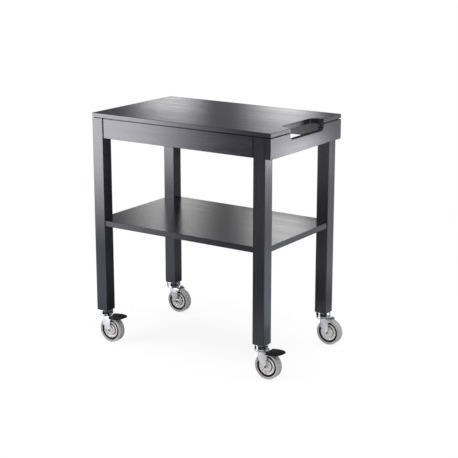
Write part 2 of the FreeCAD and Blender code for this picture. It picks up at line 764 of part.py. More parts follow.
def brake_pedal(name, corner):
    """A moulded foot pedal astride the fork, hollow below, with a rounded tip."""
    body = new_body("brake_pedal_" + name)
    side = sketch_on(body, "XZ_Plane", "PedalSide")
    outline(side, [(f"{long} * pedal_length", f"{deep} * pedal_depth") for long, deep in PEDAL_SIDE_SHARES])
    pad(body, side, "PedalPad", "2 * pedal_outer", symmetric=True)
    plan = sketch_on(body, "XY_Plane", "PedalPlan", "2 * pedal_depth")
    rectangle(plan, "-pedal_length", "-2 * pedal_outer", "2 * pedal_length", "2 * pedal_outer")
    outline(plan, mirrored_outline(
        [(f"{long} * pedal_length", f"{wide} * pedal_outer") for long, wide in PEDAL_PLAN_SHARES]))
    pocket(body, plan, "PlanTrim")
    hollow = sketch_on(body, "XY_Plane", "PedalHollow", "pedal_ceiling")
    outline(hollow, mirrored_outline(
        [(f"{long} * pedal_length", f"{wide} * pedal_inner") for long, wide in PEDAL_HOLLOW_SHARES]))
    pocket(body, hollow, "HollowCut")
    slot = sketch_on(body, "XY_Plane", "CheekGap", "2 * pedal_depth")
    rectangle(slot, "-pedal_length", "-pedal_inner", "pedal_slot", "pedal_inner")
    pocket(body, slot, "CheekGapCut")
    tip = size("pedal_length")
    round_edges(body, "TipCorners", "pedal_tip_round",
                lambda box: box.XMin > tip - CLOSE and box.YLength < CLOSE and box.ZLength > CLOSE)
    bore = sketch_on(body, "XZ_Plane", "PedalPinHole")
    circle(bore, "0", "0", "brake_pin_diameter / 2 + brake_pin_fit")
    pocket(body, bore, "PedalPinBore", symmetric=True)
    place(body, *brake_place(corner))


def brake_pin(name, corner):
    """The pin held in the fork's cheeks, with a flat head outside each side of the pedal."""
    half = "(pedal_outer + pedal_side_gap)"
    end = f"({half} + brake_pin_head_height)"
    body = new_body("brake_pin_" + name)
    sketch = sketch_on(body, "YZ_Plane", "PinProfile")
    outline(sketch, (
        (f"-{end}", "0"), (f"-{end}", "brake_pin_head / 2"), (f"-{half}", "brake_pin_head / 2"),
        (f"-{half}", "brake_pin_diameter / 2"), (half, "brake_pin_diameter / 2"),
        (half, "brake_pin_head / 2"), (end, "brake_pin_head / 2"), (end, "0"),
    ))
    revolve(body, sketch, "PinTurning", "H_Axis")
    place(body, *brake_place(corner))


def brake_shoe(name, corner):
    """The block under the pedal. Its lower face fits the tyre once the pedal is down."""
    body = new_body("brake_shoe_" + name)
    side = sketch_on(body, "XZ_Plane", "ShoeSide")
    rectangle(side, "pedal_slot", "-pedal_ceiling", "pedal_slot + shoe_length", "pedal_ceiling")
    pad(body, side, "ShoePad", "shoe_width", symmetric=True)
    print_face = sketch_on(body, "XZ_Plane", "TyreFace")
    circle(print_face,
           "brake_pin_rise * sin(brake_angle) - pin_offset * cos(brake_angle)",
           "-brake_pin_rise * cos(brake_angle) - pin_offset * sin(brake_angle)",
           "wheel_radius + shoe_gap")
    pocket(body, print_face, "TyreFaceCut", symmetric=True)
    place(body, *brake_place(corner))


def frame():
    top_board()
    handle_end_board()
    across = "left_end + leg_side + apron_length / 2"
    apron("front_apron", "apron_length", across, "apron_middle - top_depth / 2", 0, outer="-")
    apron("back_apron", "apron_length", across, "top_depth / 2 - apron_middle", 0, outer="")
    apron("left_apron", "side_length", "left_end + apron_middle", "0", 90, outer="")
    for name, corner in CORNERS.items():
        leg(name, corner)
    lower_shelf()
    frame_tenons()
    top_brackets()
    shelf_brackets()
    leg_inserts()
    castor_heads()
    swivel_caps()


def castor(name, corner):
    fork(name, corner)
    axle_bolt(name, corner)
    hub_bush(name, corner)
    rim(name, corner)
    wheel_cover(name, corner, "front_cover", "-")
    wheel_cover(name, corner, "back_cover", "")
    tyre(name, corner)
    if name in BRAKED:
        brake_pedal(name, corner)
        brake_pin(name, corner)
        brake_shoe(name, corner)


def write_steps():
    """Checks that everything was built whole, then writes one file for each sub-part."""
    document.recompute()
    failed = [item.Name for item in document.Objects if {"Invalid", "Error"} & set(item.State)]
    bad = [item.Label for item in nodes if item.Shape.isNull() or not item.Shape.isValid()]
    if failed or bad:
        raise RuntimeError(f"not built: {failed} {bad}")
    os.makedirs("parts", exist_ok=True)
    for item in nodes:
        item.Shape.exportStep(f"parts/{item.Label}.step")
    print(len(nodes), "sub-parts written")


fill_sheet()
frame()
for corner_name, corner_sides in CORNERS.items():
    castor(corner_name, corner_sides)
write_steps()
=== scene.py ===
import math

import bmesh
import bpy
from bpy.props import FloatProperty, FloatVectorProperty, IntProperty, PointerProperty
from bpy.types import Operator, Panel, PropertyGroup
from mathutils import Matrix, Vector


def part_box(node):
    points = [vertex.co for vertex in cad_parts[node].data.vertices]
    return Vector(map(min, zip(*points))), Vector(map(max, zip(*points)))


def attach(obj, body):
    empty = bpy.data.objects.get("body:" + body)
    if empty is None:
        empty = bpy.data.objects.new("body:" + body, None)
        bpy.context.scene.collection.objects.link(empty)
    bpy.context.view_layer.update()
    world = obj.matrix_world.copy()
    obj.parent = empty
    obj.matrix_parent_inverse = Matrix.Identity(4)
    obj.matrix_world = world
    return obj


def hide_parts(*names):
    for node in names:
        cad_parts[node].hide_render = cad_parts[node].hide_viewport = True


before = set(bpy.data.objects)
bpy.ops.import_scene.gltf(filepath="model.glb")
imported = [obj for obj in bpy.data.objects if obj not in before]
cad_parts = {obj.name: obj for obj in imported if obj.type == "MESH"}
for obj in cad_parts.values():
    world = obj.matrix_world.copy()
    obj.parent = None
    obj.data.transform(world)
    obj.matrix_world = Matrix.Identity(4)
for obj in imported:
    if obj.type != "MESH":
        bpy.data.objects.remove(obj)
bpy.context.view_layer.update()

# The dressing of a two-tier cart: black-stained boards and legs on four swivel castors.
# Everything is in metres. +Z is up, +X points to the end with the hand slot, -Y to the front.

bl_info = {
    "name": "Two-Tier Cart",
    "version": (1, 0, 0),
    "blender": (4, 5, 0),
    "location": "View3D > Sidebar > Cart",
    "description": "Dresses a two-tier cart: stained wood, castors, brakes, screws and a studio",
    "category": "Object",
}

MM = 0.001
CORNERS = ("front_left", "front_right", "back_left", "back_right")
BRAKED = ("front_left", "front_right")
MODEL_CORNER = "front_left"
# Vertices nearer than this are one vertex.
MERGE = 1e-6
# Faces are shaded as one below the first angle, edges softened above the second, and triangles
# joined below the third.
SMOOTH, SHARP, FLAT = math.radians(35), math.radians(40), math.radians(0.6)

WOOD_LENGTHWAYS = {
    "x": ("top_board", "front_apron", "back_apron", "lower_shelf"),
    "y": ("handle_end_board", "left_apron"),
    "z": tuple("leg_" + corner for corner in CORNERS),
}


def span(node):
    """The size of a CAD node's box."""
    low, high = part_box(node)
    return high - low


def middle(node):
    low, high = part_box(node)
    return (low + high) / 2


def wheel_centre(corner=MODEL_CORNER):
    return middle("tyre_" + corner)


def swivel_axis(corner=MODEL_CORNER):
    """The point on the floor under a leg and its castor's swivel."""
    centre = middle("leg_" + corner)
    return Vector((centre.x, centre.y, 0))


TYRE = span("tyre_" + MODEL_CORNER)
RIM = span("rim_" + MODEL_CORNER)
COVER_LOW, COVER_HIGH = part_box("back_cover_" + MODEL_CORNER)
BUSH = span("hub_bush_" + MODEL_CORNER)
PIN = span("brake_pin_" + MODEL_CORNER)


def length_setting(name, description, default, smallest=0):
    return FloatProperty(name=name, description=description, subtype="DISTANCE", unit="LENGTH",
                         min=smallest, default=default)


def share_setting(name, description, default):
    return FloatProperty(name=name, description=description, subtype="FACTOR", min=0, max=1,
                         default=default)


def colour_setting(name, description, default):
    return FloatVectorProperty(name=name, description=description, subtype="COLOR", size=3,
                               min=0, max=1, default=default)


class CartWood(PropertyGroup):
    """Sizes and colours of the stained wood."""
    stain: colour_setting("Stain", "Colour of the stained wood between its pores",
                          (0.008, 0.0085, 0.014))
    stain_light: colour_setting("Light Streaks", "Colour of the wood's harder streaks under the stain",
                                (0.016, 0.016, 0.021))
    sheen_low: share_setting("Glossiest", "Roughness of the lacquer where it is smoothest", 0.20)
    sheen_high: share_setting("Dullest", "Roughness of the lacquer over open pores and wear", 0.25)
    streak_width: length_setting("Streak Width", "Width of one streak of grain", 0.0016, 0.0005)
    pore_width: length_setting("Pore Width", "Width of one pore", 0.0007, 0.0001)
    pore_depth: length_setting("Pore Depth", "Depth of a pore that the lacquer leaves open", 0.00012)


class CartCastors(PropertyGroup):
    """Sizes and colours of the castors."""
    wheel_diameter: length_setting("Wheel Diameter", "Outer diameter of the tyre", TYRE.x, 0.02)
    tyre_width: length_setting("Tyre Width", "Width of the tyre at its shoulders", TYRE.y, 0.01)
    rim_diameter: length_setting("Rim Diameter", "Outer diameter of the black rim", RIM.x, 0.01)
    rim_width: length_setting("Rim Width", "Width of the black rim", RIM.y, 0.01)
    cover_sheet: length_setting("Cover Sheet", "Thickness of a wheel cover", 0.002, 0.001)
    turning_steps: IntProperty(
        name="Turning Steps", description="Faces round a turned piece", min=24, max=256, default=96)
    tyre_colour: colour_setting("Tyre", "Colour of the rubber", (0.36, 0.36, 0.36))
    cover_colour: colour_setting("Wheel Cover", "Colour of the wheel's covers", (0.72, 0.705, 0.695))
    plastic_colour: colour_setting("Black Plastic", "Colour of the rim and pedals",
                                   (0.006, 0.006, 0.006))
    zinc_colour: colour_setting("Zinc", "Colour of the plated steel", (0.68, 0.68, 0.71))
    chrome_colour: colour_setting("Chrome", "Colour of the chromed heads", (0.78, 0.79, 0.80))


class CartStage(PropertyGroup):
    """The studio round the cart."""
    camera_place: FloatVectorProperty(
        name="Camera", description="Where the camera stands", subtype="TRANSLATION", unit="LENGTH",
        size=3, default=(2.6816, -3.9315, 1.7056))
    camera_azimuth: FloatProperty(
        name="Azimuth", description="How far the camera has gone round from the front",
        subtype="ANGLE", unit="ROTATION", default=math.radians(33.954))
    camera_pitch: FloatProperty(
        name="Pitch", description="How far the camera looks down",
        subtype="ANGLE", unit="ROTATION", default=math.radians(14.643))
    lens: FloatProperty(
        name="Lens", description="Focal length in millimetres on a 36 mm sensor",
        min=20, default=100.23)
    floor_radius: length_setting("Floor Radius", "Radius of the round floor", 12, 1)
    lamp_level: FloatProperty(
        name="Lamps", description="Level of all the lamps together", min=0, default=1)
    shadow_share: share_setting(
        "Shadow", "How much of its own light and shadow the floor shows under the cart", 0.14)
    room_level: FloatProperty(
        name="Room", description="Level of the room's own light", min=0, default=0.42)


def settle():
    """Leaves edit mode and deselects everything."""
    if bpy.context.mode != "OBJECT":
        bpy.ops.object.mode_set(mode="OBJECT")
    bpy.ops.object.select_all(action="DESELECT")


def take(*pieces):
    """Selects only these pieces. The first is the active one."""
    settle()
    for piece in pieces:
        piece.select_set(True)
    bpy.context.view_layer.objects.active = pieces[0]


def edit(piece):
    take(piece)
    bpy.ops.object.mode_set(mode="EDIT")


def pick(piece, kind, test):
    """In edit mode, selects only the vertices, edges or faces that pass a test."""
    bpy.ops.mesh.select_mode(type={"verts": "VERT", "edges": "EDGE", "faces": "FACE"}[kind])
    bpy.ops.mesh.select_all(action="DESELECT")
    mesh = bmesh.from_edit_mesh(piece.data)
    for item in getattr(mesh, kind):
        if test(item):
            item.select_set(True)
    mesh.select_flush(True)
    bmesh.update_edit_mesh(piece.data)


def select_whole():
    bpy.ops.mesh.select_all(action="SELECT")


def facing(direction):
    return lambda face: face.normal.dot(direction) > 0.999


def name_piece(piece, name):
    piece.name = name
    piece.data.name = name
    return piece


def apply_place():
    """Puts the place, turn and size of what is selected into its mesh."""
    bpy.ops.object.transform_apply(location=True, rotation=True, scale=True)


def finish_piece(piece, body, finish, *replaced):
    """Puts a piece's place into its mesh, shades it, paints it and sets it on its body."""
    take(piece)
    apply_place()
    bpy.ops.object.shade_smooth_by_angle(angle=SMOOTH)
    piece.data.materials.clear()
    piece.data.materials.append(material(finish))
    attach(piece, body)
    if replaced:
        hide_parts(*replaced)


def copy_piece(piece, name, shift):
    """A copy with its own mesh, moved to another place."""
    take(piece)
    bpy.ops.object.duplicate()
    copy = name_piece(bpy.context.object, name)
    bpy.ops.transform.translate(value=shift)
    apply_place()
    return copy


def apply_modifier(piece, kind, **settings):
    take(piece)
    modifier = piece.modifiers.new(kind.title(), kind)
    for key, value in settings.items():
        setattr(modifier, key, value)
    bpy.ops.object.modifier_apply(modifier=modifier.name)


def soften(piece, width, segments=2):
    apply_modifier(piece, "BEVEL", width=width, segments=segments, limit_method="ANGLE",
                   angle_limit=SHARP, harden_normals=False)


def cut_out(piece, cutter):
    """Takes a cutter's shape out of a piece, and removes the cutter."""
    apply_modifier(piece, "BOOLEAN", operation="DIFFERENCE", object=cutter, solver="EXACT")
    bpy.data.objects.remove(cutter)


def block(centre, size):
    """A block with a size along each axis."""
    settle()
    bpy.ops.mesh.primitive_cube_add(size=1, location=centre)
    bpy.ops.transform.resize(value=size)
    apply_place()
    return bpy.context.object


def rod(centre, radius, length, sides):
    """A rod along Y with flat ends."""
    settle()
    bpy.ops.mesh.primitive_cylinder_add(
        vertices=sides, radius=radius, depth=length, end_fill_type="NGON", location=centre,
        rotation=(math.pi / 2, 0, 0))
    apply_place()
    return bpy.context.object


def draw_outline(name, spots):
    """Draws a closed outline from spot to spot and fills it. Leaves it in edit mode."""
    settle()
    bpy.ops.mesh.primitive_plane_add(size=MM, location=(0, 0, 0))
    piece = name_piece(bpy.context.object, name)
    bpy.ops.object.mode_set(mode="EDIT")
    bpy.ops.mesh.select_mode(type="VERT")
    select_whole()
    bpy.ops.mesh.merge(type="CENTER")
    bpy.ops.transform.translate(value=spots[0])
    for last, spot in zip(spots, spots[1:]):
        bpy.ops.mesh.extrude_region_move(TRANSFORM_OT_translate={"value": spot - last})
    select_whole()
    bpy.ops.mesh.edge_face_add()
    return piece


def turn(name, centre, axis, outline, steps):
    """Turns a closed outline about an axis through a centre.

    The outline's corners are (place along the axis, radius, rounding), all in millimetres."""
    along = Vector((0, 1, 0)) if axis == "y" else Vector((0, 0, 1))
    outward = Vector((0, 0, 1)) if axis == "y" else Vector((1, 0, 0))
    spots = [centre + along * corner[0] * MM + outward * corner[1] * MM for corner in outline]
    near = MERGE * 10
    piece = draw_outline(name, spots)
    for spot, corner in zip(spots, outline):
        if corner[2]:
            pick(piece, "verts", lambda vertex: (vertex.co - spot).length < near)
            bpy.ops.mesh.bevel(offset=corner[2] * MM, offset_type="ABSOLUTE", segments=4,
                               affect="VERTICES", clamp_overlap=True)
    pick(piece, "faces", lambda face: True)
    bpy.ops.mesh.delete(type="ONLY_FACE")
    bpy.ops.mesh.select_mode(type="VERT")
    select_whole()
    bpy.ops.mesh.spin(steps=steps, angle=math.tau, center=centre, axis=along)
    select_whole()
    bpy.ops.mesh.remove_doubles(threshold=near)
    bpy.ops.mesh.delete_loose(use_verts=True, use_edges=True, use_faces=False)
    select_whole()
    bpy.ops.mesh.normals_make_consistent(inside=False)
    settle()
    return piece


def mirrored(outline):
    """An outline for turning, on the other side of its centre."""
    return tuple((-along, radius, rounding) for along, radius, rounding in outline)


def both_sides(half):
    """A whole outline from its half on one side of the centre."""
    return half + mirrored(reversed(half))


def whole_copy(node, name):
    """A copy of a CAD node's mesh with its triangles joined into whole flat faces."""
    piece = bpy.data.objects.new(name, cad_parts[node].data.copy())
    bpy.context.collection.objects.link(piece)
    name_piece(piece, name)
    edit(piece)
    select_whole()
    bpy.ops.mesh.remove_doubles(threshold=MERGE)
    bpy.ops.mesh.customdata_custom_splitnormals_clear()
    bpy.ops.mesh.dissolve_limited(angle_limit=FLAT)
    settle()
    return piece


def join(pieces, name):
    take(*pieces)
    bpy.ops.object.join()
    return name_piece(bpy.context.object, name)


# Materials


def ranged(tree, value, source=(0, 1), target=(0, 1), smooth=False):
    """Spreads one range of a value over another range of numbers."""
    node = tree.nodes.new("ShaderNodeMapRange")
    if smooth:
        node.interpolation_type = "SMOOTHSTEP"
    for name, number in zip(("From Min", "From Max", "To Min", "To Max"), (*source, *target)):
        node.inputs[name].default_value = number
    tree.links.new(value, node.inputs["Value"])
    return node.outputs["Result"]


def combined(tree, operation, first, second):
    """Two values through one step of arithmetic."""
    node = tree.nodes.new("ShaderNodeMath")
    node.operation = operation
    tree.links.new(first, node.inputs[0])
    tree.links.new(second, node.inputs[1])
    return node.outputs["Value"]


def mixed(tree, share, first, second):
    """Two shaders in one. The share is that of the second."""
    node = tree.nodes.new("ShaderNodeMixShader")
    for socket, source in zip(node.inputs, (share, first, second)):
        tree.links.new(source, socket)
    return node.outputs["Shader"]


class Finish:
    """A material under construction: its nodes, added and linked one by one."""

    def __init__(self, name, **constants):
        self.material = bpy.data.materials.new("cart_" + name)
        self.material.use_nodes = True
        self.tree = self.material.node_tree
        self.nodes = self.tree.nodes
        self.shader = self.nodes["Principled BSDF"]
        for socket, value in constants.items():
            self.shader.inputs[socket.replace("_", " ")].default_value = value
        self.place = self.nodes.new("ShaderNodeTexCoord").outputs["Object"]

    def link(self, source, node, socket):
        self.tree.links.new(source, node.inputs[socket])

    def stretched(self, scale):
        """Object coordinates, with the pattern drawn out by a scale for each axis."""
        mapping = self.nodes.new("ShaderNodeMapping")
        mapping.inputs["Scale"].default_value = scale
        self.link(self.place, mapping, "Vector")
        return mapping.outputs["Vector"]

    def noise(self, size, detail, roughness, scale=(1, 1, 1)):
        """A cloudy pattern whose blots are about one size across."""
        node = self.nodes.new("ShaderNodeTexNoise")
        node.inputs["Scale"].default_value = 1 / size
        node.inputs["Detail"].default_value = detail
        node.inputs["Roughness"].default_value = roughness
        self.link(self.stretched(scale), node, "Vector")
        return node.outputs["Fac"]

    def between(self, value, low, high, start=0.35, end=0.65):
        """Spreads a pattern over a range of numbers."""
        return ranged(self.tree, value, (start, end), (low, high))

    def colour(self, value, dark, light, start=0.35, end=0.65):
        """Spreads a pattern over two colours."""
        ramp = self.nodes.new("ShaderNodeValToRGB")
        ends = ramp.color_ramp.elements
        ends[0].position, ends[1].position = start, end
        ends[0].color, ends[1].color = (*dark, 1), (*light, 1)
        self.link(value, ramp, "Fac")
        self.link(ramp.outputs["Color"], self.shader, "Base Color")

    def roughness(self, value, low, high):
        self.link(self.between(value, low, high), self.shader, "Roughness")

    def relief(self, *layers):
        """Stacks bumps: each layer is a pattern, its depth in metres and its strength."""
        last = None
        for source, depth, strength in layers:
            bump = self.nodes.new("ShaderNodeBump")
            bump.inputs["Distance"].default_value = depth
            bump.inputs["Strength"].default_value = strength
            self.link(source, bump, "Height")
            if last:
                self.link(last.outputs["Normal"], bump, "Normal")
            last = bump
        self.link(last.outputs["Normal"], self.shader, "Normal")


def shaded(colour, share):
    return tuple(channel * share for channel in colour)


def drawn_out(axis, share):
    """Scales that draw a pattern out along one axis."""
    return tuple(share if letter == axis else 1 for letter in "xyz")


def stained_wood(axis, wood):
    """Black-stained wood under a satin lacquer, its grain along one axis."""
    finish = Finish("stained_wood_along_" + axis, Specular_IOR_Level=0.42)
    streaks = finish.noise(wood.streak_width, 4, 0.6, drawn_out(axis, 0.008))
    wear = finish.noise(0.03, 4, 0.6, drawn_out(axis, 0.05))
    pores = finish.noise(wood.pore_width, 2, 0.5, drawn_out(axis, 0.03))
    finish.colour(streaks, wood.stain, wood.stain_light, 0.38, 0.66)
    finish.roughness(wear, wood.sheen_low, wood.sheen_high)
    finish.relief((finish.between(pores, 0, 1, 0.3, 0.5), wood.pore_depth, 0.12),
                  (streaks, wood.pore_depth, 0.04))
    return finish.material


def beech():
    """Plain planed wood of the loose tenons."""
    finish = Finish("beech")
    rays = finish.noise(0.0012, 3, 0.6, (0.2, 0.2, 1))
    finish.colour(rays, (0.50, 0.32, 0.18), (0.66, 0.46, 0.29))
    finish.roughness(rays, 0.5, 0.65)
    finish.relief((rays, 0.0002, 0.3))
    return finish.material


def plated_steel(name, colour, low, high, cloud=0.006):
    """Plated steel with faint clouds in its gloss and fine drawing lines."""
    finish = Finish(name, Metallic=1)
    clouds = finish.noise(cloud, 3, 0.5)
    lines = finish.noise(0.0004, 2, 0.5, (1, 1, 0.1))
    finish.colour(clouds, shaded(colour, 0.88), colour)
    finish.roughness(clouds, low, high)
    finish.relief((lines, 0.00002, 0.25), (clouds, 0.0002, 0.12))
    return finish.material


def moulded_plastic(name, colour, low, high, gloss):
    """Moulded plastic with a fine spark-eroded texture and handling marks."""
    finish = Finish(name, Specular_IOR_Level=gloss)
    texture = finish.noise(0.0006, 2, 0.5)
    marks = finish.noise(0.012, 4, 0.6)
    finish.colour(marks, shaded(colour, 0.86), colour)
    finish.roughness(marks, low, high)
    finish.relief((texture, 0.00005, 0.3))
    return finish.material


def grey_rubber(colour):
    """Grey rubber, a little dusty, with the fine grain of its mould."""
    finish = Finish("grey_rubber", Specular_IOR_Level=0.35)
    grain = finish.noise(0.0005, 2, 0.5)
    dust = finish.noise(0.009, 5, 0.65)
    finish.colour(dust, shaded(colour, 0.84), shaded(colour, 1.1), 0.3, 0.7)
    finish.roughness(dust, 0.5, 0.72)
    finish.relief((grain, 0.00008, 0.35), (dust, 0.0003, 0.1))
    return finish.material


def material(name):
    """A finish by name, made the first time it is asked for."""
    made = bpy.data.materials.get("cart_" + name)
    if made:
        return made
    if name.startswith("stained_wood"):
        return stained_wood(name[-1], bpy.context.scene.cart_wood)
    castors = bpy.context.scene.cart_castors
    makers = {
        "beech": beech,
        "zinc": lambda: plated_steel(name, castors.zinc_colour, 0.34, 0.48),
        "chrome": lambda: plated_steel(name, castors.chrome_colour, 0.07, 0.12, 0.02),
        "dark_steel": lambda: plated_steel(name, (0.05, 0.05, 0.053), 0.32, 0.45),
        "black_plastic": lambda: moulded_plastic(name, castors.plastic_colour, 0.5, 0.65, 0.2),
        "light_plastic": lambda: moulded_plastic(name, castors.cover_colour, 0.30, 0.42, 0.4),
        "grey_rubber": lambda: grey_rubber(castors.tyre_colour),
    }
    return makers[name]()


def paint_node(node, name):
    """Gives a CAD node a finish in its own material slots."""
    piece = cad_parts[node]
    if not piece.material_slots:
        piece.data.materials.append(material(name))
    for slot in piece.material_slots:
        slot.link = "OBJECT"
        slot.material = material(name)


def spread(piece, body, finish, node, corners=CORNERS):
    """Finishes a castor's piece at the first corner, and its copies at the others."""
    for corner in corners:
        copy = piece
        if corner != MODEL_CORNER:
            shift = swivel_axis(corner) - swivel_axis()
            copy = copy_piece(piece, piece.name.replace(MODEL_CORNER, corner), shift)
        finish_piece(copy, body.format(corner), finish, node.format(corner))


class CART_OT_boards(Operator):
    """Stains and lacquers the boards, rails and legs"""
    bl_idname = "cart.boards"
    bl_label = "Boards and Legs"

    def execute(self, context):
        for axis, nodes in WOOD_LENGTHWAYS.items():
            for node in nodes:
                paint_node(node, "stained_wood_along_" + axis)
        paint_node("frame_tenons", "beech")
        return {"FINISHED"}


class CART_OT_fittings(Operator):
    """Plates the steel angles and sleeves and drives their screws"""
    bl_idname = "cart.fittings"
    bl_label = "Steel Fittings"

    def execute(self, context):
        for node in ("top_brackets", "shelf_brackets", "leg_inserts"):
            paint_node(node, "zinc")
        screw = self.pan_head_screw()
        for node in ("top_brackets", "shelf_brackets"):
            screws = [self.drive(screw, *spot) for spot in self.screw_places(node)]
            finish_piece(join(screws, node.replace("brackets", "screws")), "table", "zinc")
        bpy.data.objects.remove(screw)
        return {"FINISHED"}

    def pan_head_screw(self):
        """A pan head with a cross recess, standing on the origin."""
        screw = turn("screw", Vector(), "z", (
            (0, 0, 0), (0, 3.4, 0), (0.5, 4, 0.2), (1.7, 3.3, 0.9), (2.3, 0, 0)), 24)
        for wide, deep in ((3.6, 0.8), (0.8, 3.6)):
            bar = block(Vector((0, 0, 2.2)) * MM, Vector((wide, deep, 2)) * MM)
            edit(bar)
            pick(bar, "faces", facing(Vector((0, 0, -1))))
            bpy.ops.transform.resize(value=(0.55, 0.55, 1), center_override=(0, 0, 1.2 * MM))
            settle()
            cut_out(screw, bar)
        return screw

    def flanges(self, node):
        """Each large flat face of a node's angles that doesn't face up: corners and direction."""
        smallest_face = 100 * MM * MM
        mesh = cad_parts[node].data
        found = []
        for way in ((1, 0, 0), (-1, 0, 0), (0, 1, 0), (0, -1, 0), (0, 0, -1)):
            direction = Vector(way)
            # The faces of one flange are those that share a corner.
            clusters = []
            for face in mesh.polygons:
                if face.area < smallest_face or not facing(direction)(face):
                    continue
                points = [mesh.vertices[index].co for index in face.vertices]
                near = [
                    cluster for cluster in clusters
                    if any((point - other).length < MERGE for point in points for other in cluster)
                ]
                if near:
                    near[0].extend(points)
                else:
                    clusters.append(points)
            found += [(Vector(map(min, *cluster)), Vector(map(max, *cluster)), direction)
                      for cluster in clusters]
        return found

    def screw_places(self, node):
        """Two screws side by side on each flange of every angle of a node."""
        shortest, narrowest = 33 * MM, 15 * MM
        from_middle = 0.27
        places = []
        for low, high, direction in self.flanges(node):
            centre, size = (low + high) / 2, high - low
            across = [axis for axis in range(3) if abs(direction[axis]) < 0.5]
            wide, narrow = sorted(across, key=lambda axis: size[axis], reverse=True)
            if size[wide] < shortest or size[narrow] < narrowest:
                continue
            for side in (-1, 1):
                place = centre.copy()
                place[wide] += side * size[wide] * from_middle
                places.append((place, direction))
        return places

    def drive(self, screw, place, direction):
        """A copy of the screw on a flange, its head outwards."""
        copy = copy_piece(screw, "screw_copy", (0, 0, 0))
        turned = Vector((0, 0, 1)).rotation_difference(direction).to_matrix().to_4x4()
        copy.matrix_world = Matrix.Translation(place) @ turned
        take(copy)
        apply_place()
        return copy


class CART_OT_tyres(Operator):
    """Moulds the grey tyres with their shoulders and the grooves in their treads"""
    bl_idname = "cart.tyres"
    bl_label = "Tyres"

    def execute(self, context):
        castors = context.scene.cart_castors
        outer, seat = castors.wheel_diameter / 2 / MM, castors.rim_diameter / 2 / MM
        wall, ring = castors.tyre_width / 2 / MM, castors.rim_width / 2 / MM
        tread = outer - 0.25
        outline = both_sides((
            # On the rim, and the bead beside the rim's lip.
            (ring - 0.4, seat, 0), (ring - 0.4, seat + 1.3, 0), (ring + 0.4, seat + 1.4, 0.3),
            (ring + 1.2, seat + 2.2, 0.5), (ring + 0.9, seat + 3.6, 0.3),
            # The wall and the shoulder.
            (wall, outer - 3.2, 0.8), (wall - 0.6, tread - 0.3, 0.9),
            # The tread, with a groove beside the shoulder and one in its middle.
            (wall - 1.8, tread, 0.2), (wall - 2.2, tread - 0.9, 0.2), (wall - 3, tread - 0.9, 0.2),
            (wall - 3.4, tread, 0.2), (1.1, outer, 0.2), (0.5, outer - 0.7, 0.2),
        ))
        tyre = turn("tyre_rubber_" + MODEL_CORNER, wheel_centre(), "y", outline,
                    castors.turning_steps)
        spread(tyre, "wheel_{}", "grey_rubber", "tyre_{}")
        return {"FINISHED"}


class CART_OT_rims(Operator):
    """Moulds the black rims: a ring with a lip, a web with its boss, and on each side a black collar
    that paints the shade in the covers' step
    """
    bl_idname = "cart.rims"
    bl_label = "Rims"

    def execute(self, context):
        castors = context.scene.cart_castors
        steps = castors.turning_steps
        centre = wheel_centre()
        outer, wide = castors.rim_diameter / 2 / MM, castors.rim_width / 2 / MM
        inner = (COVER_HIGH.x - centre.x) / MM + 0.1
        bush = BUSH.x / 2 / MM
        outline = both_sides((
            # The lip over the tyre's edge, and down the ring's inner side.
            (wide - 0.4, outer, 0), (wide - 0.4, outer + 1.2, 0), (wide, outer + 1.2, 0.2),
            (wide, inner + 0.9, 0.7), (wide - 1, inner, 0.4), (5.2, inner, 0),
            # Along the web to the boss round the bush.
            (4, inner - 1.5, 0.6), (4, bush + 4.5, 0.8), (5.5, bush + 3, 0.5), (6.5, bush, 0),
        ))
        # Each collar is a black ring at the foot of a cover's raised middle. It is painted shade for
        # the shadow that falls in that step.
        collar = ((7, 20.5, 0), (11.6, 20.5, 0), (11.8, 20.9, 0.2), (11.5, 21.6, 0.3), (7, 22.4, 0))
        pieces = [turn("rim", centre, "y", profile, steps)
                  for profile in (outline, mirrored(collar), collar)]
        rim = join(pieces, "rim_ring_" + MODEL_CORNER)
        spread(rim, "wheel_{}", "black_plastic", "rim_{}")
        return {"FINISHED"}


class CART_OT_covers(Operator):
    """Moulds the light covers on both sides of the wheels: a raised middle with a dish round it"""
    bl_idname = "cart.covers"
    bl_label = "Wheel Covers"

    def execute(self, context):
        castors = context.scene.cart_castors
        centre = wheel_centre()
        edge = (COVER_HIGH.x - centre.x) / MM - 0.9
        face = (COVER_HIGH.y - centre.y) / MM
        under = (COVER_LOW.y - centre.y) / MM
        floor = under + castors.cover_sheet / MM
        bush = BUSH.x / 2 / MM + 0.1
        back = (
            # From the outer edge down into the dish.
            (face - 2.4, edge, 0), (face - 0.9, edge, 0.4), (face - 0.2, edge - 0.8, 0.4),
            (face - 0.2, 31.6, 0.6), (floor + 0.7, 28, 2), (floor, 24.5, 0.8), (floor, 20.6, 0),
            # The raised middle, with a step down to the bush.
            (face - 0.6, 20.6, 0.5), (face - 0.2, 19, 0.5), (face - 0.2, 14.6, 0.5),
            (face - 0.8, 13.6, 0.4), (face - 0.8, bush, 0.3), (face - 2.5, bush, 0),
            # Back to the edge along the inner side.
            (face - 2.5, 18.6, 0.6), (under, 19.4, 0.6), (under, 26, 1), (face - 2.4, 30.8, 0.8),
        )
        for label, outline in (("back_cover_", back), ("front_cover_", mirrored(back))):
            cover = turn(label + "disc_" + MODEL_CORNER, centre, "y", outline, castors.turning_steps)
            spread(cover, "wheel_{}", "light_plastic", label + "{}")
        return {"FINISHED"}


class CART_OT_bushes(Operator):
    """Turns the hubs' bushes"""
    bl_idname = "cart.bushes"
    bl_label = "Hub Bushes"

    def execute(self, context):
        outer, half = BUSH.x / 2 / MM, BUSH.y / 2 / MM
        bore = 4.05
        bush = turn("hub_tube_" + MODEL_CORNER, wheel_centre(), "y", both_sides((
            (half, bore, 0.3), (half, outer - 2.6, 0.3), (half - 1, outer - 2.2, 0.3),
            (half - 1, outer, 0.5))), 64)
        spread(bush, "wheel_{}", "light_plastic", "hub_bush_{}")
        return {"FINISHED"}


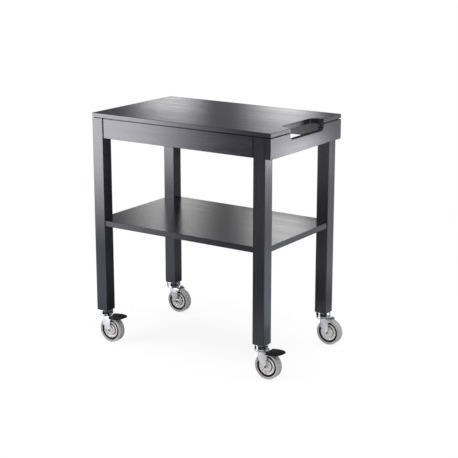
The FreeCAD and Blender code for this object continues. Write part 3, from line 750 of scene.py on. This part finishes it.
class CART_OT_axles(Operator):
    """Turns the axle bolts and cuts their sockets, threads and nuts"""
    bl_idname = "cart.axles"
    bl_label = "Axle Bolts"

    def execute(self, context):
        low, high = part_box("axle_bolt_" + MODEL_CORNER)
        centre = wheel_centre()
        head, end = (low.y - centre.y) / MM, (high.y - centre.y) / MM
        cheek = head + 3
        washer, shank, root = 6.5, 4, 3.6
        collar = turn("axle_collar_" + MODEL_CORNER, centre, "y", (
            (head + 0.5, shank + 0.1, 0.1), (head, 4.5, 0.2), (head, washer, 0.7),
            (cheek, washer, 0.1), (cheek, shank + 0.1, 0)), 48)
        spread(collar, "fork_{}", "zinc", "axle_bolt_{}")
        threaded = turn("shank", centre, "y", (
            (cheek - 0.2, 0, 0), (cheek - 0.2, shank, 0),
            # Two grooves of the thread show outside the nut.
            (end - 1.9, shank, 0.15), (end - 1.65, root, 0.1), (end - 1.4, root, 0.1),
            (end - 1.15, shank, 0.15), (end - 0.9, shank, 0.15), (end - 0.65, root, 0.1),
            (end - 0.5, root, 0.1), (end, 3.1, 0.15), (end, 0, 0)), 48)
        bolt_head = self.socket_head(centre, head + 0.4, cheek, shank)
        bolt = join([bolt_head, threaded, self.nut(centre, -cheek)], "axle_set_" + MODEL_CORNER)
        spread(bolt, "fork_{}", "dark_steel", "axle_bolt_{}")
        return {"FINISHED"}

    def socket_head(self, centre, face, seat, radius):
        """A low round head with a hexagon socket, facing the front."""
        socket_radius, socket_depth = 2.4 * MM, 2 * MM
        head = rod(centre + Vector((0, (face + seat) / 2, 0)) * MM, radius * MM,
                   (seat - face) * MM, 48)
        front = centre.y + face * MM
        front_face = facing(Vector((0, -1, 0)))
        edit(head)
        pick(head, "faces", front_face)
        bpy.ops.mesh.bevel(offset=0.5 * MM, segments=4, affect="EDGES")
        pick(head, "faces", front_face)
        bpy.ops.mesh.delete(type="ONLY_FACE")
        settle()
        bpy.ops.mesh.primitive_circle_add(
            vertices=6, radius=socket_radius, fill_type="NOTHING",
            location=(centre.x, front, centre.z), rotation=(math.pi / 2, 0, 0))
        hexagon = bpy.context.object
        apply_place()
        head = join([head, hexagon], "bolt_head")
        edit(head)
        pick(head, "edges", lambda edge: all(abs(v.co.y - front) < MERGE for v in edge.verts))
        bpy.ops.mesh.bridge_edge_loops()
        pick(head, "edges", lambda edge: edge.is_boundary)
        bpy.ops.mesh.extrude_region_move(TRANSFORM_OT_translate={"value": (0, socket_depth, 0)})
        bpy.ops.mesh.edge_face_add()
        select_whole()
        bpy.ops.mesh.normals_make_consistent(inside=False)
        settle()
        return head

    def nut(self, centre, seat):
        """A hexagon nut with turned-down corners."""
        corner_radius, thickness = 6.5, 6
        nut = rod(centre + Vector((0, seat + thickness / 2, 0)) * MM, corner_radius * MM,
                  thickness * MM, 6)
        edit(nut)
        pick(nut, "faces", lambda face: abs(face.normal.y) > 0.99)
        bpy.ops.mesh.bevel(offset=0.7 * MM, segments=3, affect="EDGES")
        settle()
        soften(nut, 0.2 * MM)
        return nut


class CART_OT_heads(Operator):
    """Turns the chromed heads with their stems, and the caps of the swivel races"""
    bl_idname = "cart.heads"
    bl_label = "Castor Heads"

    def execute(self, context):
        steps = context.scene.cart_castors.turning_steps
        axis = swivel_axis()
        low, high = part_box("castor_heads")
        cap_low, cap_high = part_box("swivel_caps")
        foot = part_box("leg_" + MODEL_CORNER)[0].z / MM
        rivet, top = low.z / MM, high.z / MM
        cap, base = cap_low.z / MM, cap_high.z / MM
        disc, pin, stem = 27.9, 5, 6
        outlines = (
            ("castor_head_", "castor_heads", (
                # The rivet's head and its pin, up to the disc.
                (rivet, 0, 0), (rivet, 8.2, 0.6), (rivet + 1.8, 9, 0.3), (rivet + 1.8, pin, 0),
                (base, pin, 0), (base, 27, 0.3),
                # The disc under the leg.
                (base + 0.8, disc, 0.4), (base + 2.4, disc, 0), (foot - 2.2, disc, 0),
                (foot - 0.7, disc, 0.4), (foot, 27.2, 0.3),
                # The stem in the leg.
                (foot, stem, 0), (top - 1, stem, 0), (top, stem - 1, 0), (top, 0, 0))),
            ("race_cap_", "swivel_caps", (
                (cap, pin + 0.05, 0), (cap, 25.2, 0.4), (cap + 1.2, 26, 0.5), (base - 0.9, 25.6, 0.4),
                (base, 24.9, 0.4), (base, pin + 0.05, 0))),
        )
        pieces = [(turn(label + MODEL_CORNER, axis, "z", outline, steps), node)
                  for label, node, outline in outlines]
        for piece, node in pieces:
            spread(piece, "table", "chrome", node)
        return {"FINISHED"}


class CART_OT_forks(Operator):
    """Presses the forks: whole sheets with softened edges"""
    bl_idname = "cart.forks"
    bl_label = "Forks"

    def execute(self, context):
        for corner in CORNERS:
            fork = whole_copy("fork_" + corner, "pressed_fork_" + corner)
            self.narrow_cheeks(fork, wheel_centre(corner))
            soften(fork, 0.45 * MM)
            finish_piece(fork, "fork_" + corner, "zinc", "fork_" + corner)
        return {"FINISHED"}

    def narrow_cheeks(self, fork, axle):
        """Cuts the cheeks' back edges in between the axle's boss and the crown."""
        low = axle + Vector((3.5, -30, 8.5)) * MM
        high = axle + Vector((16, 30, 43)) * MM
        cutter = block((low + high) / 2, high - low)
        edit(cutter)
        pick(cutter, "edges", lambda edge: all(abs(v.co.x - low.x) < MERGE for v in edge.verts)
             and abs(edge.verts[0].co.y - edge.verts[1].co.y) > MERGE)
        bpy.ops.mesh.bevel(offset=4 * MM, segments=5, affect="EDGES")
        settle()
        cut_out(fork, cutter)


class CART_OT_brakes(Operator):
    """Moulds the brake pedals with their grips, and heads their pins"""
    bl_idname = "cart.brakes"
    bl_label = "Brakes"

    def execute(self, context):
        pivot = middle("brake_pin_" + MODEL_CORNER)
        half = PIN.y / 2 / MM
        neck, rivet = 2, 3.5
        pin = turn("brake_rivet_" + MODEL_CORNER, pivot, "y", both_sides((
            (half - 1.2, neck, 0), (half - 1.2, rivet, 0), (half - 1.1, rivet, 0.4), (half, 2.4, 0),
            (half, 0, 0))), 32)
        spread(pin, "fork_{}", "dark_steel", "brake_pin_{}", BRAKED)
        for corner in BRAKED:
            paint_node("brake_shoe_" + corner, "black_plastic")
            pedal = whole_copy("brake_pedal_" + corner, "pedal_shell_" + corner)
            self.round_pedal(pedal)
            grips = self.grips(pivot + swivel_axis(corner) - swivel_axis())
            pedal = join([pedal, *grips], "pedal_shell_" + corner)
            finish_piece(pedal, "pedal_" + corner, "black_plastic", "brake_pedal_" + corner)
        return {"FINISHED"}

    def round_pedal(self, pedal):
        """Rounds the pedal's long edges and leaves the small bore as it is."""
        edit(pedal)
        pick(pedal, "edges", lambda edge: edge.calc_length() > 1.2 * MM and edge.is_manifold
             and edge.calc_face_angle() > math.radians(30))
        bpy.ops.mesh.bevel(offset=0.7 * MM, segments=3, affect="EDGES", clamp_overlap=True)
        settle()

    def grips(self, pivot):
        """Low ribs across the pedal's flat, where the foot presses, each narrower than the last."""
        first, step = Vector((33, 0, 10.15)), Vector((5, 0, 0.0375))
        widest, narrowing = Vector((2, 33, 1.8)), Vector((0, 2.4, 0))
        ribs = []
        for number in range(4):
            rib = block(pivot + (first + step * number) * MM, (widest - narrowing * number) * MM)
            soften(rib, 0.5 * MM, 3)
            ribs.append(rib)
        return ribs


# The studio. Its cards stand in planes before, behind and to the right of the cart, or lie just
# above the floor.
FRONT, BACK, RIGHT = -1.25, 1.5, 0.6
CARD_HEIGHT, ARC_HEIGHT = 0.003, 0.004
WHITE = (1, 1, 1)
COOL = (0.78, 0.87, 1)
FAINT_BLUE = (0.945, 0.94, 1)
BLACK_CARD = 0.02


def lamp(name, place, target, size, radiance, level):
    """A soft panel of a width and height in metres, turned to a target. Radiance 1 is paper white.

    It lights the cart and the floor. What the lacquer and the metal mirror are the cards."""
    data = bpy.data.lights.new(name, "AREA")
    data.shape = "RECTANGLE"
    data.size, data.size_y = size
    data.energy = radiance * level * math.pi * size[0] * size[1]
    panel = bpy.data.objects.new(name, data)
    bpy.context.collection.objects.link(panel)
    panel.location = place
    panel.rotation_euler = (Vector(target) - Vector(place)).to_track_quat("-Z", "Y").to_euler()
    panel.visible_camera = False
    panel.visible_glossy = False


def bare_material(name):
    """A studio material with no nodes yet."""
    paint = bpy.data.materials.new(name)
    paint.use_nodes = True
    paint.node_tree.nodes.clear()
    return paint


def show(tree, shader):
    tree.links.new(shader, tree.nodes.new("ShaderNodeOutputMaterial").inputs["Surface"])


def place_in(tree, space):
    """The three coordinates of a place, in a space that texture coordinates know."""
    place = tree.nodes.new("ShaderNodeSeparateXYZ")
    tree.links.new(tree.nodes.new("ShaderNodeTexCoord").outputs[space], place.inputs["Vector"])
    return place.outputs


def show_in_gloss(sheet, level, low=0, fades=(), tint=WHITE):
    """Makes a sheet glow, and hides it from all but the mirrored rays."""
    paint = bare_material(sheet.name)
    tree = paint.node_tree
    glow = tree.nodes.new("ShaderNodeEmission")
    glow.inputs["Color"].default_value = (*tint, 1)
    glow.inputs["Strength"].default_value = level
    show(tree, glow.outputs["Emission"])
    if fades:
        place = place_in(tree, "Object")
        shares = [ranged(tree, place[axis], reach, smooth=True) for axis, *reach in fades]
        share = shares[0]
        for another in shares[1:]:
            share = combined(tree, "MULTIPLY", share, another)
        tree.links.new(ranged(tree, share, target=(low, level)), glow.inputs["Strength"])
    sheet.data.materials.append(paint)
    for ray in ("camera", "diffuse", "transmission", "volume_scatter", "shadow"):
        setattr(sheet, "visible_" + ray, False)


def card(name, corners, level, low=0, fades=(), tint=WHITE):
    """A studio card that only shows in the cart's gloss, bright or dark.

    With fades its level falls to the low one. A fade is an axis, the place where the card is low
    and the place where it is at its level."""
    settle()
    bpy.ops.mesh.primitive_plane_add(size=1, location=(0, 0, 0))
    sheet = name_piece(bpy.context.object, name)
    edit(sheet)
    mesh = bmesh.from_edit_mesh(sheet.data)
    face = mesh.faces[:][0]
    for vertex, corner in zip(face.verts, corners):
        vertex.co = corner
    bmesh.update_edit_mesh(sheet.data)
    settle()
    show_in_gloss(sheet, level, low, fades, tint)


def floor_arc(name, centre, near, far, start, end):
    """A dark card in an arc on the floor, between two radii and two angles in degrees."""
    settle()
    bpy.ops.mesh.primitive_grid_add(x_subdivisions=8, y_subdivisions=1, size=1, location=(0, 0, 0))
    sheet = name_piece(bpy.context.object, name)
    edit(sheet)
    mesh = bmesh.from_edit_mesh(sheet.data)
    for vertex in mesh.verts:
        angle = math.radians(start + (vertex.co.x + 0.5) * (end - start))
        radius = near + (vertex.co.y + 0.5) * (far - near)
        vertex.co = centre + Vector((radius * math.cos(angle), radius * math.sin(angle), ARC_HEIGHT))
    bmesh.update_edit_mesh(sheet.data)
    settle()
    show_in_gloss(sheet, BLACK_CARD)


def upright(start, end, low, high):
    """The corners of an upright card that stands over the floor from one spot to another."""
    return (*start, low), (*end, low), (*end, high), (*start, high)


def flat(*spots):
    """The corners of a card that lies just above the floor."""
    return tuple((*spot, CARD_HEIGHT) for spot in spots)


class CART_OT_stage(Operator):
    """Sets the white floor, the room, the soft lamps, the mirrored cards and the camera"""
    bl_idname = "cart.stage"
    bl_label = "Studio"

    def execute(self, context):
        stage = context.scene.cart_stage
        self.floor(stage)
        self.room(context.scene, stage)
        self.lamps(stage)
        self.cards()
        self.camera(context.scene, stage)
        context.scene.view_settings.view_transform = "Standard"
        return {"FINISHED"}

    def floor(self, stage):
        settle()
        bpy.ops.mesh.primitive_circle_add(
            vertices=96, radius=stage.floor_radius, fill_type="NGON", location=(0, 0, 0))
        floor = name_piece(bpy.context.object, "studio_floor")
        edit(floor)
        select_whole()
        bpy.ops.mesh.inset(thickness=stage.floor_radius * 0.6)
        settle()
        paper = bare_material("white_paper")
        tree = paper.node_tree
        sheet = tree.nodes.new("ShaderNodeBsdfDiffuse")
        sheet.inputs["Color"].default_value = (0.9, 0.9, 0.9, 1)
        sheet = sheet.outputs["BSDF"]
        white = tree.nodes.new("ShaderNodeEmission").outputs["Emission"]
        veiled = mixed(tree, self.floor_share(tree, stage), white, sheet)
        show(tree, mixed(tree, self.seen_straight(tree), sheet, veiled))
        floor.data.materials.append(paper)

    def floor_share(self, tree, stage):
        """How much of the lit floor is seen: most under the cart, none from a fair way off."""
        distance = tree.nodes.new("ShaderNodeVectorMath")
        distance.operation = "LENGTH"
        tree.links.new(tree.nodes.new("ShaderNodeTexCoord").outputs["Object"], distance.inputs[0])
        return ranged(tree, distance.outputs["Value"], (0.5, 1.7), (stage.shadow_share, 0),
                      smooth=True)

    def seen_straight(self, tree):
        """1 for the camera's rays and for what metal and glass show, else 0."""
        rays = tree.nodes.new("ShaderNodeLightPath").outputs
        seen = combined(tree, "MAXIMUM", rays["Is Camera Ray"], rays["Is Glossy Ray"])
        return combined(tree, "MAXIMUM", seen, rays["Is Transmission Ray"])

    def room(self, scene, stage):
        """White behind the object, a white horizon for the gloss, and a dimmer room elsewhere."""
        world = bpy.data.worlds.new("studio_room")
        scene.world = world
        world.use_nodes = True
        tree = world.node_tree
        back = tree.nodes["Background"]
        back.inputs["Color"].default_value = (*WHITE, 1)
        height = place_in(tree, "Generated")["Z"]
        horizon = ranged(tree, height, (0.02, 0.12), (1, stage.room_level), smooth=True)
        camera_ray = tree.nodes.new("ShaderNodeLightPath").outputs["Is Camera Ray"]
        seen_level = combined(tree, "MAXIMUM", camera_ray, horizon)
        level = ranged(tree, self.seen_straight(tree), target=(stage.room_level, 1))
        tree.links.new(seen_level, level.node.inputs["To Max"])
        tree.links.new(level, back.inputs["Strength"])

    def lamps(self, stage):
        level = stage.lamp_level
        lamp("key_panel", (-1.6, -2, 1.5), (0, 0, 0.4), (1.1, 1.2), 7, level)
        lamp("right_panel", (1.9, 0.9, 1.4), (0.2, 0, 0.4), (0.9, 0.9), 4, level)
        lamp("small_panel", (1.3, -1.5, 2.2), (0, 0, 0.2), (0.5, 0.5), 12, level)
        lamp("ceiling_panel", (0, 0, 2.6), (0, 0, 0.5), (2.6, 2.4), 4, level)

    def cards(self):
        """What the lacquer and the chrome mirror: bright cards with soft edges, dark ones between."""
        # In front on the left: the bright window of the front faces, dark above it.
        card("key_card", upright((-2.4, FRONT), (-0.3, FRONT), 0, 1.1), 12.7, 0.2,
             (("X", -0.52, -1.05), ("Z", -0.02, 0.58)), FAINT_BLUE)
        card("key_flag", upright((-2.4, FRONT), (0.6, FRONT), 1.1, 2.2), 0.1)
        # Behind: two bright bands for the top, and two below them for the shelf.
        card("left_band", upright((-1.95, BACK), (-1.06, BACK), 1.1, 2.3), 4.2, 0.12,
             (("X", -1.72, -1.38), ("X", -1.04, -1.34), ("Z", 1.34, 1.08)))
        card("right_band", upright((-1.06, BACK), (-0.1, BACK), 1.08, 2.3), 2.6, 0.18,
             (("X", -0.98, -0.6), ("X", -0.37, -0.6), ("Z", 1.45, 1.08)))
        card("left_low_band", upright((-1.95, BACK), (-1.03, BACK), 0.56, 1.1), 2.1, 0.28,
             (("X", -1.82, -1.42), ("X", -1, -1.28), ("Z", 1.08, 0.78)))
        card("right_low_band", upright((-1.03, BACK), (-0.1, BACK), 0.56, 1.08), 3, 0.3,
             (("X", -0.98, -0.66), ("X", -0.36, -0.56), ("Z", 1.35, 0.8)))
        card("left_flag", upright((-3.4, BACK), (-1.95, BACK), 0.3, 2.3), 0.12)
        card("right_flag", upright((-0.1, BACK), (0.55, BACK), 0.3, 2.3), 0.1)
        card("band_foot", upright((-1.95, BACK), (-0.1, BACK), 0.3, 0.56), 0.1)
        # Behind on the right: the window of the right faces, bright for the end board and dim for the
        # legs, and dark beside it.
        card("right_low_card", upright((0.47, RIGHT), (1.3, RIGHT), 0.22, 0.58), 3, 1.25,
             (("X", 0.58, 0.9), ("Z", 0.3, 0.6)), FAINT_BLUE)
        card("right_foot_card", upright((0.47, RIGHT), (0.72, RIGHT), 0.02, 0.22), 1.4, 0.5,
             (("Z", 0.02, 0.2),), FAINT_BLUE)
        card("right_high_card", upright((0.47, RIGHT), (1.3, RIGHT), 0.58, 1.1), 8, 1.4,
             (("X", 0.61, 0.72), ("X", 1.03, 0.79), ("Z", 0.81, 0.7)), FAINT_BLUE)
        card("between_flag", upright((-0.3, RIGHT), (0.47, RIGHT), 0.02, 0.6), 0.45, 0.12,
             (("X", 0.08, -0.12),))
        card("right_back_flag", upright((0.55, BACK), (1.8, BACK), 0.02, 0.7), 0.2)
        # On the floor: bright at its sides, dim between, and dark arcs for the castors' metal.
        card("left_floor_card", flat((-2.2, -1.4), (-0.68, -1.4), (-0.68, 0.1), (-2.2, 0.1)), 1.6,
             tint=COOL)
        card("front_floor_flag", flat((-0.5, -1.8), (1.2, -1.8), (1.2, -0.9), (-0.5, -0.9)), 0.35,
             tint=COOL)
        for corner in CORNERS:
            floor_arc("head_flag_" + corner, swivel_axis(corner), 0.28, 0.5, -112, 2)
            floor_arc("fork_flag_" + corner, swivel_axis(corner), 0.12, 0.28, 25, 95)
        card("back_floor_flag", flat((-0.9, 0.05), (0.2, 0.05), (1.5, 2.2), (-0.9, 2.2)), 0.15)
        card("right_floor_card", flat((0.45, 0.15), (2.6, 0.15), (2.6, 1.7), (1.3, 1.7)), 1.7,
             tint=COOL)
        # Behind the camera and at its side.
        card("camera_flag", upright((-1.96, -3.68), (3.62, -2.08), 0.02, 1.8), BLACK_CARD)
        card("side_flag", upright((3.2, -2.2), (3.2, 0.4), 0.02, 1.8), BLACK_CARD)

    def camera(self, scene, stage):
        data = bpy.data.cameras.new("camera")
        data.lens = stage.lens
        data.sensor_width = 36
        camera = bpy.data.objects.new("camera", data)
        scene.collection.objects.link(camera)
        azimuth, pitch = stage.camera_azimuth, stage.camera_pitch
        back = Vector((math.sin(azimuth) * math.cos(pitch), -math.cos(azimuth) * math.cos(pitch),
                       math.sin(pitch)))
        camera.location = stage.camera_place
        camera.rotation_euler = (-back).to_track_quat("-Z", "Y").to_euler()
        scene.camera = camera


OPERATORS = (
    CART_OT_boards, CART_OT_fittings, CART_OT_tyres, CART_OT_rims, CART_OT_covers, CART_OT_bushes,
    CART_OT_axles, CART_OT_heads, CART_OT_forks, CART_OT_brakes, CART_OT_stage,
)


class CART_PT_sidebar(Panel):
    """Lists the cart's pieces and their settings"""
    bl_label = "Two-Tier Cart"
    bl_idname = "CART_PT_sidebar"
    bl_space_type = "VIEW_3D"
    bl_region_type = "UI"
    bl_category = "Cart"

    def draw(self, context):
        for name in SETTINGS:
            settings = getattr(context.scene, name)
            box = self.layout.box()
            for key in settings.bl_rna.properties.keys():
                if key not in ("rna_type", "name"):
                    box.prop(settings, key)
        for operator in OPERATORS:
            self.layout.operator(operator.bl_idname)


SETTINGS = {"cart_wood": CartWood, "cart_castors": CartCastors, "cart_stage": CartStage}
CLASSES = (*SETTINGS.values(), *OPERATORS, CART_PT_sidebar)


def register():
    for item in CLASSES:
        bpy.utils.register_class(item)
    for name, group in SETTINGS.items():
        setattr(bpy.types.Scene, name, PointerProperty(type=group))


def unregister():
    for name in SETTINGS:
        delattr(bpy.types.Scene, name)
    for item in reversed(CLASSES):
        bpy.utils.unregister_class(item)


def main():
    register()
    for operator in OPERATORS:
        group, name = operator.bl_idname.split(".")
        getattr(getattr(bpy.ops, group), name)()


if __name__ == "__main__":
    main()
